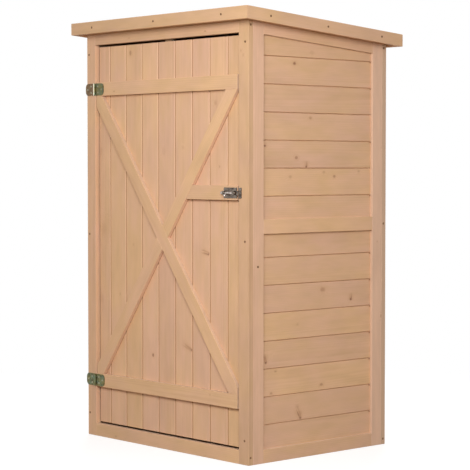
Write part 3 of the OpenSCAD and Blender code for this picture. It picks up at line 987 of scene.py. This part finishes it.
@dataclass
class Joinery:
    """What every timber sub-assembly shares: its body, slot and finish, and the draw of tints and knots."""

    finish: Material
    slot: Slot
    body: Body = Body.SHED
    pent: Pent = PENT
    hue_spread: float = 0.45
    light_spread: float = 0.30
    most_strays: int = 2
    stray_margin: float = 0.06
    stray_radius: Place = (1.6 * MM, 4.0 * MM)
    stray_dark: Place = (0.25, 0.8)

    def stock(
        self, name: str, lie: Lie, outline: Array, span: Sequence[float], grain: Place, **more: object
    ) -> Stock:
        """One sawn piece with its own cut from the log and tint.

        Args:
            name: Name that the draw of the cut and tint follows.
            lie: Face that shows.
            outline: Outline in the face.
            span: Lowest and highest place through the thickness.
            grain: Direction of the fibres in the outline.
            more: Options of the stock that aren't the plain ones, such as its edge, joints, slope or tint.

        Returns:
            The piece.
        """
        rng = draw(name)
        cut = tuple(rng.random(2))
        hue, light = rng.normal(0, self.hue_spread), rng.normal(0, self.light_spread)
        given = {"tint": (hue, light, rng.random())} | MARKS.of_batten(name) | more
        return Stock(lie, outline, span[0], span[1], grain, cut, **given)

    def put(self, node: str, boards: Sequence[Stock]) -> None:
        """Adds boards as one piece, which replaces its node."""
        mesh = MeshData.joined([board.mesh() for board in boards])
        mesh.add(f"{node}_wood", self.body, self.slot, self.finish, [node])

    def batten(
        self, node: str, lie: Lie, grain: Grain, cuts: Iterable[HalfPlane] = (), **more: object
    ) -> None:
        """Adds a batten with the box of its node, cut by half planes, and with options of its stock."""
        a, b, c = lie.spans(node)
        self.put(node, [self.stock(node, lie, clipped(rectangle(a, b), cuts), c, grain.value, **more)])

    def strays(self, name: str, outline: Array) -> list[Knot]:
        """Knots at random places of a face, a little in from its edges.

        Args:
            name: Name that the draw follows.
            outline: Outline of the face.

        Returns:
            The knots.
        """
        rng = draw(name + " knots")
        low, high = outline.min(axis=0), outline.max(axis=0)
        shares = rng.random((rng.integers(0, self.most_strays + 1), 2))
        places = low + (high - low) * (self.stray_margin + (1 - 2 * self.stray_margin) * shares)
        sizes, darks = (rng.uniform(*span, len(places)) for span in (self.stray_radius, self.stray_dark))
        return [Knot(*place, size, dark) for place, size, dark in zip(places, sizes, darks)]

    def run(
        self,
        node: str,
        lie: Lie,
        edges: Sequence[float],
        grain: Grain,
        cuts: Iterable[HalfPlane] = (),
        tuck: float = 0.0,
        face: Face = Face(),
        edge: Edge = SAWN,
    ) -> None:
        """Adds a run of matched boards with V joints, which replaces its node.

        Args:
            node: Name of the node.
            lie: Face that shows.
            edges: Places of the joints and of the run's two edges, across the fibres.
            grain: Direction of the fibres.
            cuts: Half planes that cut the boards.
            tuck: How far the boards' ends reach in behind the frame.
            face: Knots, spikes and tints of the boards.
            edge: How the boards' edges are cut.
        """
        a, b, c = lie.spans(node)
        reach = np.array((-tuck, tuck))
        upright = grain is Grain.UP
        across = 0 if upright else 1
        boards = []
        for index, (e0, e1) in enumerate(zip(edges[:-1], edges[1:])):
            spans = ((e0, e1), b + reach) if upright else (a + reach, (e0, e1))
            outline = clipped(rectangle(*spans), cuts)
            name = f"{node} {index}"
            knots = self.strays(name, outline) if face.knots is None else face.knots
            joints = (index > 0, index < len(edges) - 2)
            more = {
                "edge": edge,
                "joints": joints[::-1] if upright else joints,
                "knots": [knot for knot in knots if e0 <= knot[across] < e1],
                "spike": next((spike for spike in face.spikes if e0 <= spike[across] < e1), None),
            }
            if face.tints:
                more["tint"] = face.tints[index]
            boards.append(self.stock(name, lie, outline, c, grain.value, **more))
        self.put(node, boards)


@dataclass
class FrontFrame(Joinery):
    """Two door posts, the header, the sill and the stop block behind the door's top."""

    def build(self) -> None:
        """Builds the five battens."""
        for node in ("left_door_post", "right_door_post"):
            self.batten(node, Lie.FRONT, Grain.UP, sawn=False)
        for node in ("header", "sill", "door_stop"):
            self.batten(node, Lie.FRONT, Grain.ALONG)


@dataclass
class SideWall(Joinery):
    """One side: stiles, slanting top rail, middle and bottom rail."""

    lie: Lie = Lie.RIGHT
    side: str = "right"

    def build(self) -> None:
        """Builds the five battens of the side's frame."""
        top = self.pent.below(self.lie, self.pent.wall_top)
        for part in ("front_stile", "back_stile"):
            self.batten(f"{self.side}_{part}", self.lie, Grain.UP, [top])
        rail = [top, self.pent.above(self.lie, self.pent.rail_under)]
        self.batten(f"{self.side}_top_rail", self.lie, Grain.ALONG, rail)
        for part in ("middle_rail", "bottom_rail"):
            self.batten(f"{self.side}_{part}", self.lie, Grain.ALONG)


@dataclass
class SideBoards(Joinery):
    """The level boards of one side, above and below its middle rail."""

    lie: Lie = Lie.RIGHT
    side: str = "right"
    upper: Face = Face()
    lower: Face = Face()
    pitch: float = WALL_PITCH
    low_joint: float = LOW_JOINT
    low_count: int = 7
    high_joint: float = 677 * MM
    high_count: int = 6
    tuck: float = TUCK

    def build(self) -> None:
        """Builds the two runs of boards."""
        top = self.pent.below(self.lie, self.pent.board_top - self.tuck)
        runs = (
            ("upper", self.high_joint, self.high_count, [top], self.upper),
            ("lower", self.low_joint, self.low_count, [], self.lower),
        )
        for part, first, count, cuts, face in runs:
            node = f"{self.side}_{part}_boards"
            low, high = self.lie.spans(node)[1]
            edges = [low - self.tuck, *(first + self.pitch * np.arange(count)), high + self.tuck]
            self.run(node, self.lie, edges, Grain.ALONG, cuts, self.tuck, face)


@dataclass
class BackWall(Joinery):
    """Frame of the back."""

    def build(self) -> None:
        """Builds the four battens."""
        for node in ("back_left_stile", "back_right_stile"):
            self.batten(node, Lie.BACK, Grain.UP)
        for node in ("back_top_rail", "back_bottom_rail"):
            self.batten(node, Lie.BACK, Grain.ALONG)


@dataclass
class PlainBoards(Joinery):
    """Boards that don't show in front: the back, the floor and the roof."""

    pitch: float = WALL_PITCH
    low_joint: float = LOW_JOINT
    least_strip: float = 4 * MM
    roof_pitch: float = 90 * MM
    roof_joints: int = 6
    tuck: float = TUCK

    def build(self) -> None:
        """Builds the back boards, the floor boards and the sloping roof boards."""
        low, high = Lie.BACK.spans("back_boards")[1]
        joints = np.arange(self.low_joint, high - self.least_strip, self.pitch)
        self.run("back_boards", Lie.BACK, [low - self.tuck, *joints, high], Grain.ALONG, (), self.tuck)
        low, high = Lie.TOP.spans("floor_boards")[1]
        joints = centred(int((high - low) / self.pitch), self.pitch)
        self.run("floor_boards", Lie.TOP, [low, *joints, high], Grain.ALONG)
        self.roof()

    def roof(self) -> None:
        """Builds the roof boards in level, then tilts them to the slope."""
        p, middle, grain = self.pent, self.pent.height(0.0), Grain.ALONG.value
        x, y = p.half_w - p.fascia_t, p.half_d - p.fascia_t
        edges = [-y, *centred(self.roof_joints, self.roof_pitch), y]
        span = (middle - p.deck_under, middle - p.deck_top)
        boards = [
            self.stock(f"roof_boards {i}", Lie.TOP, rectangle((-x, x), row), span, grain, slope=p.rate)
            for i, row in enumerate(zip(edges[:-1], edges[1:]))
        ]
        self.put("roof_boards", boards)


@dataclass
class Fascias(Joinery):
    """The four edge boards of the roof, mitred at the corners."""

    def build(self) -> None:
        """Builds each board as a mitred plan carried up its height and tilted to the slope."""
        p = self.pent
        w, d, t = p.half_w, p.half_d, p.fascia_t
        front = np.array([(-w, -d), (w, -d), (w - t, t - d), (t - w, t - d)])
        right = np.array([(w, -d), (w, d), (w - t, d - t), (w - t, t - d)])
        plans = {"front": front, "back": -front, "right": right, "left": -right}
        span = (p.height(0.0) - p.fascia_h, p.height(0.0))
        for side, plan in plans.items():
            grain = Grain.ALONG if side in ("front", "back") else Grain.UP
            node = f"{side}_fascia"
            self.put(node, [self.stock(node, Lie.TOP, plan, span, grain.value, sawn=False, slope=p.rate)])


@dataclass
class FeltRoof:
    """Two widths of felt between the fascias, the upper one lapped over the lower."""

    finish: Material
    pent: Pent = PENT
    lap_y: float = 20 * MM
    lap: float = 70 * MM
    bend: float = 9 * MM
    pressed: float = 0.95
    room: float = 0.4 * MM
    lower_rows: int = 24

    def build(self) -> None:
        """Builds the felt as two sheets, tilted to the slope.

        The lower sheet runs up under the lap. The upper one lies on the boards, rises by a smooth step
        3 t ** 2 - 2 t ** 3 over the lower one's edge, and ends past it.
        """
        p, y = self.pent, self.lap_y
        w, d = p.half_w - p.fascia_t - self.room, p.half_d - p.fascia_t - self.room
        under = p.height(0.0) - p.felt_drop - p.felt_t
        rows = ((-d, y - 12 * MM, 12), (y - 10 * MM, y + 6 * MM, 9), (y + 12 * MM, y + self.lap, 8))
        along = np.concatenate([np.linspace(*row) for row in rows])
        step = np.clip((along - y + self.bend) / self.bend, 0, 1)
        rise = (step * step * (3 - 2 * step)) * (p.felt_t * self.pressed)
        upper = self.sheet(along, rise + under, w)
        lower = self.sheet(np.linspace(y, d, self.lower_rows), np.full(self.lower_rows, under), w)
        felt = MeshData.joined([lower, upper])
        felt.add("roof_felt_sheet", Body.SHED, Slot.FELT, self.finish, ["roof_felt"])

    def sheet(self, along: Array, under: Array, half: float) -> MeshData:
        """One width of felt.

        Its section across the roof, a flat strip with round edges, is carried along the depth.

        Args:
            along: Depths of the sections, from front to back.
            under: Height of the underside at each section.
            half: Half of the width.

        Returns:
            The mesh.
        """
        r = self.pent.felt_t / 2
        t = np.linspace(-math.pi / 2, math.pi / 2, 5)
        right = np.stack([half - r + r * np.cos(t), r + r * np.sin(t)], axis=1)
        section = np.concatenate([right, right[::-1] * np.array([-1.0, 1.0])])
        rings = np.empty((len(along), len(section), 3))
        rings[..., 0] = section[None, :, 0]
        rings[..., 1] = along[:, None]
        rings[..., 2] = under[:, None] + section[None, :, 1] - self.pent.rate * along[:, None]
        return MeshData.from_rings(rings[:, ::-1])


@dataclass
class Door(Joinery):
    """Ledges, braces and lock rail of the door, on its upright boards."""

    width: float = 37 * MM
    long_top_in: float = 1 * MM
    long_foot_in: float = 10 * MM
    cross_top_in: float = 22 * MM
    cross_foot_in: float = 6 * MM

    def beside(self, line: Sequence[Array], shift: float, side: float) -> HalfPlane:
        """What lies on one side of a line.

        Args:
            line: Two points of the line.
            shift: How far to the line's left the border is.
            side: 1 for what lies left of the border, -1 for what lies right of it.

        Returns:
            The half plane that stays.
        """
        start, end = line
        ahead = (end - start) / np.linalg.norm(end - start)
        left = np.array([-ahead[1], ahead[0]])
        return HalfPlane(tuple(side * left), float(side * (left @ start + shift)))

    def build(self) -> None:
        """Builds the ledges, then the long brace, the two halves of the second brace, and the lock rail."""
        # Door battens get painted shade at the foot of their lower edges, and painted light on those edges'
        # faces.
        for node in ("door_top_ledge", "door_bottom_ledge"):
            self.batten(node, Lie.FRONT, Grain.ALONG, footed=True)
        (x0, x1), (_, foot), _ = Lie.FRONT.spans("door_bottom_ledge")
        _, (head, _), span = Lie.FRONT.spans("door_top_ledge")
        half = self.width / 2
        long = np.array([(x0 + self.long_top_in, head), (x1 - self.long_foot_in, foot)])
        cross = np.array([(x0 + self.cross_foot_in, foot), (x1 - self.cross_top_in, head)])
        long_cuts = [self.beside(long, -half, 1), self.beside(long, half, -1)]
        cross_cuts = [self.beside(cross, -half, 1), self.beside(cross, half, -1)]
        panel = rectangle((x0, x1), (foot, head))
        lock = rectangle((x0, x1), Lie.FRONT.spans("door_lock_rail")[1])
        rows = {
            "door_long_brace": (panel, long_cuts, long[1] - long[0]),
            "door_upper_brace": (panel, [*cross_cuts, self.beside(long, half, 1)], cross[1] - cross[0]),
            "door_lower_brace": (panel, [*cross_cuts, self.beside(long, -half, -1)], cross[1] - cross[0]),
            "door_lock_rail": (lock, [self.beside(cross, -half, -1)], np.array(Grain.ALONG.value)),
        }
        for node, (outline, cuts, fibres) in rows.items():
            grain = tuple(fibres / np.linalg.norm(fibres))
            self.put(node, [self.stock(node, Lie.FRONT, clipped(outline, cuts), span, grain, footed=True)])


@dataclass
class DoorBoards(Joinery):
    """The upright matched boards of the door."""

    pitch: float = 69.8 * MM
    joints: int = 8
    face: Face = Face()

    def build(self) -> None:
        """Builds the boards, with the joints centred on the door."""
        x0, x1 = Lie.FRONT.spans("door_boards")[0]
        edges = [x0, *((x0 + x1) / 2 + centred(self.joints, self.pitch)), x1]
        self.run("door_boards", Lie.FRONT, edges, Grain.UP, face=self.face, edge=DOOR_EDGE)


@dataclass
class ScrewHeads:
    """Countersunk heads with a cross recess, on a face of the shed.

    The heights are shares of what stands proud, and the arm and reach of the recess are shares of the radius.
    """

    finish: Material
    slot: Slot = Slot.STEEL
    body: Body = Body.SHED
    radius: float = 3.0 * MM
    proud: float = 0.45 * MM
    segments: int = 24
    foot: float = -1.2
    rim: float = 0.35
    crown: float = 0.35
    arm: float = 0.17
    reach: float = 0.68
    recess: float = 0.75

    RINGS = (1.0, 1.0, 0.97, 0.86, 0.70, 0.56, 0.42, 0.28, 0.14, 0.05)

    def head(self, at: Sequence[float], lie: Lie, turn: float) -> MeshData:
        """One head.

        A dome of height 1 - crown (r / R) ** 2 is turned about the screw's axis. Inside the recess's reach it
        is lower where the place lies within an arm's half width of either line of the cross.

        Args:
            at: Point on the face.
            lie: Face that the head sits on.
            turn: Angle of the cross.

        Returns:
            The mesh.
        """
        r = np.array(self.RINGS)[:, None]
        angle = np.linspace(0, 2 * math.pi, self.segments, endpoint=False)[None, :]
        x, y = r * np.cos(angle), r * np.sin(angle)
        off = np.minimum(np.abs(r * np.cos(angle - turn)), np.abs(r * np.sin(angle - turn)))
        height = 1 - self.crown * r * r - self.recess * (off < self.arm) * (r < self.reach)
        height[0], height[1] = self.foot, self.rim
        local = np.stack([x * self.radius, y * self.radius, height * self.proud], axis=-1)
        return MeshData.from_rings(local @ lie.axes + np.array(at))

    def build(self, name: str, places: Sequence[tuple[Sequence[float], Lie]]) -> None:
        """Puts a group of heads on the shed as one piece.

        Args:
            name: Name of the piece.
            places: Point and face of each head.
        """
        turns = draw(name).random(len(places)) * math.pi
        heads = [self.head(at, lie, turn) for (at, lie), turn in zip(places, turns)]
        MeshData.joined(heads).add(name, self.body, self.slot, self.finish)


@dataclass
class Fastenings:
    """The screws of the frame, the roof, the hinges and the bolt.

    The spots of the frame's screws are along and up each wall, in millimetres.
    """

    finish: Material
    plated: Material
    steel: Material
    pent: Pent = PENT
    half_w: float = 335 * MM
    half_d: float = 250 * MM
    front: tuple[Place, ...] = ((322, 1064), (321, 564), (320, 61), (-326, 1063), (-326, 564), (-327, 62))
    back: tuple[Place, ...] = ((316, 1066), (316, 560), (316, 58), (-316, 1066), (-316, 560), (-316, 58))
    side: tuple[Place, ...] = ((-243, 1106), (-243, 19), (240, 1070), (241, 599), (242, 15), (-218, 500))
    fascia_x: tuple[float, ...] = (-270 * MM, -3 * MM, 267 * MM)
    fascia_y: tuple[float, ...] = (-202 * MM, 0.0, 201 * MM)
    leaf: float = 40 * MM
    leaf_t: float = 1.6 * MM
    leaf_holes: tuple[Place, ...] = ((0.76, 0.5), (0.38, 0.24), (0.38, 0.76))
    leaf_screw: float = 2.6 * MM
    plate_t: float = 1.5 * MM
    plate_edge: float = 3.4 * MM
    plate_screw: float = 2.2 * MM
    small_proud: float = 0.4 * MM

    def frame_screws(self) -> None:
        """Screws of the wall frames: the posts' faces, the edges that show on the sides, and the back."""
        x, y = self.half_w, self.half_d
        places = [((a * MM, -y, b * MM), Lie.FRONT) for a, b in self.front]
        places += [((a * MM, y, b * MM), Lie.BACK) for a, b in self.back]
        places += [((x, a * MM, b * MM), Lie.RIGHT) for a, b in self.side]
        places += [((-x, a * MM, b * MM), Lie.LEFT) for a, b in self.side]
        ScrewHeads(self.finish).build("frame_screws", places)

    def fascia_screws(self) -> None:
        """Three screws in each fascia board, at half its height."""
        p = self.pent
        drop = p.fascia_h / 2
        places = []
        for x in self.fascia_x:
            z = p.front_h - drop
            places += [((x, -p.half_d, z), Lie.FRONT), ((-x, p.half_d, z - p.fall), Lie.BACK)]
        for y in self.fascia_y:
            z = p.height(y) - drop
            places += [((p.half_w, y, z), Lie.RIGHT), ((-p.half_w, y, z), Lie.LEFT)]
        ScrewHeads(self.finish).build("fascia_screws", places)

    def hinge_screws(self) -> None:
        """Three small screws in each leaf, one near its round end and two near the barrel."""
        face = -self.half_d - self.leaf_t
        for leaf, body, way in (("frame", Body.SHED, -1), ("door", Body.DOOR, 1)):
            places = []
            for level in ("top", "bottom"):
                low, high = Lie.FRONT.spans(f"{level}_hinge_{leaf}_leaf")[1]
                for share, rise in self.leaf_holes:
                    at = (PIN_X + way * self.leaf * share, face, low + (high - low) * rise)
                    places.append((at, Lie.FRONT))
            heads = ScrewHeads(self.plated, Slot.ZINC, body, self.leaf_screw, self.small_proud)
            heads.build(f"{leaf}_hinge_screws", places)

    def bolt_screws(self) -> None:
        """Four small screws in the bolt's plate and two in its keeper."""
        face = -self.half_d - self.plate_t
        plates = (("bolt_plate", (0.36, 0.64), Body.DOOR), ("bolt_keeper", (0.5,), Body.SHED))
        for node, shares, body in plates:
            (a0, a1), (b0, b1), _ = Lie.FRONT.spans(node)
            levels = (b0 + self.plate_edge, b1 - self.plate_edge)
            places = [((a0 + (a1 - a0) * share, face, b), Lie.FRONT) for share in shares for b in levels]
            heads = ScrewHeads(self.steel, Slot.STEEL, body, self.plate_screw, self.small_proud)
            heads.build(f"{node}_screws", places)

    def build(self) -> None:
        """Builds every group of screws."""
        self.frame_screws()
        self.fascia_screws()
        self.hinge_screws()
        self.bolt_screws()


@dataclass
class Fittings:
    """The plated hinges and bolt, which keep their own solids."""

    zinc: Material
    steel: Material
    rod: Material

    def build(self) -> None:
        """Gives each node of the fittings its metal."""
        metals = {"bolt": self.rod, "bolt_plate": self.steel, "bolt_keeper": self.steel}
        for name, node in frame["nodes"].items():
            metal = self.zinc if "hinge" in name else metals.get(name)
            if metal:
                for place in node.material_slots:
                    place.material = metal
                LOG.info("%s keeps its solid in %s", name, metal.name)


class Lamp(NamedTuple):
    """A square soft lamp: its name, its place, the point it faces, the length of its side, and its watts."""

    name: str
    eye: Point
    aim: Point
    size: float
    power: float


@dataclass
class Studio:
    """Camera of the photograph, pale floor, white surroundings and soft lamps."""

    eye: Point = (3.39587, -3.03145, 0.75401)
    heading: float = 48.2094
    tilt: float = 2.3893
    focal_px: float = 1655.32
    image_px: float = 470.0
    sensor: float = 36.0
    clip_end: float = 200.0
    floor_half: float = 40.0
    floor_z: float = -0.3 * MM
    floor_pale: Colour = (0.90, 0.90, 0.90)
    floor_dim: Colour = (0.25, 0.16, 0.08)
    white: Colour = (1.0, 1.0, 1.0)
    glow: float = 1.30
    glow_share: float = 0.5
    shade_from: float = 0.75
    shade_to: float = 1.70
    sky: float = 0.33
    lamps: tuple[Lamp, ...] = (
        Lamp("key", (2.60, -2.30, 1.60), (0.0, 0.0, 0.95), 1.3, 75.0),
        Lamp("near", (0.95, -1.75, 1.35), (0.05, 0.0, 1.0), 0.8, 12.6),
        Lamp("rear_fill", (-2.6, 2.6, 1.9), (0.0, 0.0, 0.75), 2.2, 120.0),
        Lamp("overhead", (0.0, 0.0, 4.2), (0.0, 0.0, 1.0), 2.5, 26.0),
    )

    def camera(self) -> None:
        """Sets the camera at the eye, turned by the heading and tilted down."""
        turn, tilt = math.radians(self.heading), math.radians(self.tilt)
        right = Vector((math.cos(turn), math.sin(turn), 0))
        level = Vector((-math.sin(turn), math.cos(turn), 0))
        up = Vector((0, 0, 1)) * math.cos(tilt) + level * math.sin(tilt)
        back = right.cross(up)
        data = bpy.data.cameras.new("camera")
        data.sensor_width = self.sensor
        data.lens = self.sensor * self.focal_px / self.image_px
        data.clip_end = self.clip_end
        camera = bpy.data.objects.new("camera", data)
        turned = Matrix((right, up, back)).transposed().to_4x4()
        camera.matrix_world = Matrix.Translation(self.eye) @ turned
        bpy.context.scene.collection.objects.link(camera)
        bpy.context.scene.camera = camera

    def floor(self) -> None:
        """Lays a pale floor that is white to the eye, and keeps the shed's soft shadow near it."""
        h = self.floor_half
        mesh = bpy.data.meshes.new("floor")
        corners = np.insert(rectangle((-h, h), (-h, h)), 2, self.floor_z, axis=1)
        mesh.from_pydata(corners.tolist(), [], [(0, 1, 2, 3)])
        s, material = Shade.material("pale_floor")
        pale, dim = (
            s.node("ShaderNodeBsdfDiffuse", None, {"Color": colour})
            for colour in (self.floor_pale, self.floor_dim)
        )
        white, glow = (
            s.node("ShaderNodeEmission", None, {"Color": self.white, "Strength": strength})
            for strength in (1.0, self.glow)
        )
        x, y, _ = s.split(s.point())
        away = (x * x + y * y).root().ramp(self.shade_from, self.shade_to)
        near = s.node("ShaderNodeMixShader", None, {0: self.glow_share, 1: pale, 2: glow})
        lit = s.node("ShaderNodeMixShader", None, {0: away, 1: near, 2: white})
        both = s.node("ShaderNodeMixShader", None, {0: self.seen(s), 1: dim, 2: lit})
        s.node("ShaderNodeOutputMaterial", None, {"Surface": both})
        mesh.materials.append(material)
        floor = bpy.data.objects.new("floor", mesh)
        bpy.context.scene.collection.objects.link(floor)

    def seen(self, s: Shade) -> Sock:
        """1 for rays from the eye, a mirror or a glass, and 0 for light that is passed on.

        Args:
            s: Builder of the tree.

        Returns:
            The share.
        """
        path = s.node("ShaderNodeLightPath").socket.node
        rays = [Sock(s, path.outputs[f"Is {kind} Ray"]) for kind in ("Camera", "Glossy", "Transmission")]
        return rays[0].most(rays[1]).most(rays[2])

    def world(self) -> None:
        """Surrounds the scene with white that the eye sees, and a weaker light on the object."""
        world = bpy.data.worlds.new("surroundings")
        world.use_nodes = True
        bpy.context.scene.world = world
        s = Shade(world.node_tree)
        strength = self.sky + self.seen(s) * (1.0 - self.sky)
        light = s.node("ShaderNodeBackground", None, {"Color": self.white, "Strength": strength})
        s.node("ShaderNodeOutputWorld", None, {"Surface": light})

    def light(self, lamp: Lamp) -> None:
        """Adds a lamp that the camera doesn't see.

        Args:
            lamp: The lamp.
        """
        data = bpy.data.lights.new(lamp.name, "AREA")
        data.size = lamp.size
        data.energy = lamp.power
        added = bpy.data.objects.new(lamp.name, data)
        added.location = lamp.eye
        added.visible_camera = False
        added.rotation_euler = (Vector(lamp.aim) - Vector(lamp.eye)).to_track_quat("-Z", "Y").to_euler()
        bpy.context.scene.collection.objects.link(added)

    def build(self) -> None:
        """Sets the camera, the floor, the surroundings and the lamps."""
        bpy.context.scene.view_settings.view_transform = "Standard"
        self.camera()
        self.floor()
        self.world()
        for lamp in self.lamps:
            self.light(lamp)


def main() -> None:
    """Builds the studio, then each sub-assembly."""
    logging.basicConfig(level=logging.INFO, format="%(name)s: %(message)s")
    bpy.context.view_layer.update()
    Studio().build()
    finishes = Finishes()
    FrontFrame(finishes.frame, Slot.FRAME).build()
    faces = {"right": (MARKS.on_side(MARKS.upper_tints), MARKS.on_side(MARKS.lower_tints))}
    for lie, side in ((Lie.RIGHT, "right"), (Lie.LEFT, "left")):
        SideWall(finishes.frame, Slot.FRAME, lie=lie, side=side).build()
        upper, lower = faces.get(side, (Face(), Face()))
        SideBoards(finishes.boards, Slot.BOARDS, lie=lie, side=side, upper=upper, lower=lower).build()
    BackWall(finishes.frame, Slot.FRAME).build()
    PlainBoards(finishes.boards, Slot.BOARDS).build()
    Fascias(finishes.frame, Slot.FRAME).build()
    FeltRoof(finishes.felt).build()
    face = MARKS.face(MARKS.door_knots, MARKS.door_spikes, MARKS.door_tints)
    DoorBoards(finishes.door, Slot.DOOR, Body.DOOR, face=face).build()
    Door(finishes.door, Slot.DOOR, Body.DOOR).build()
    Fittings(finishes.zinc, finishes.steel, finishes.rod).build()
    Fastenings(finishes.screw, finishes.stud, finishes.steel).build()


if __name__ == "__main__":
    main()
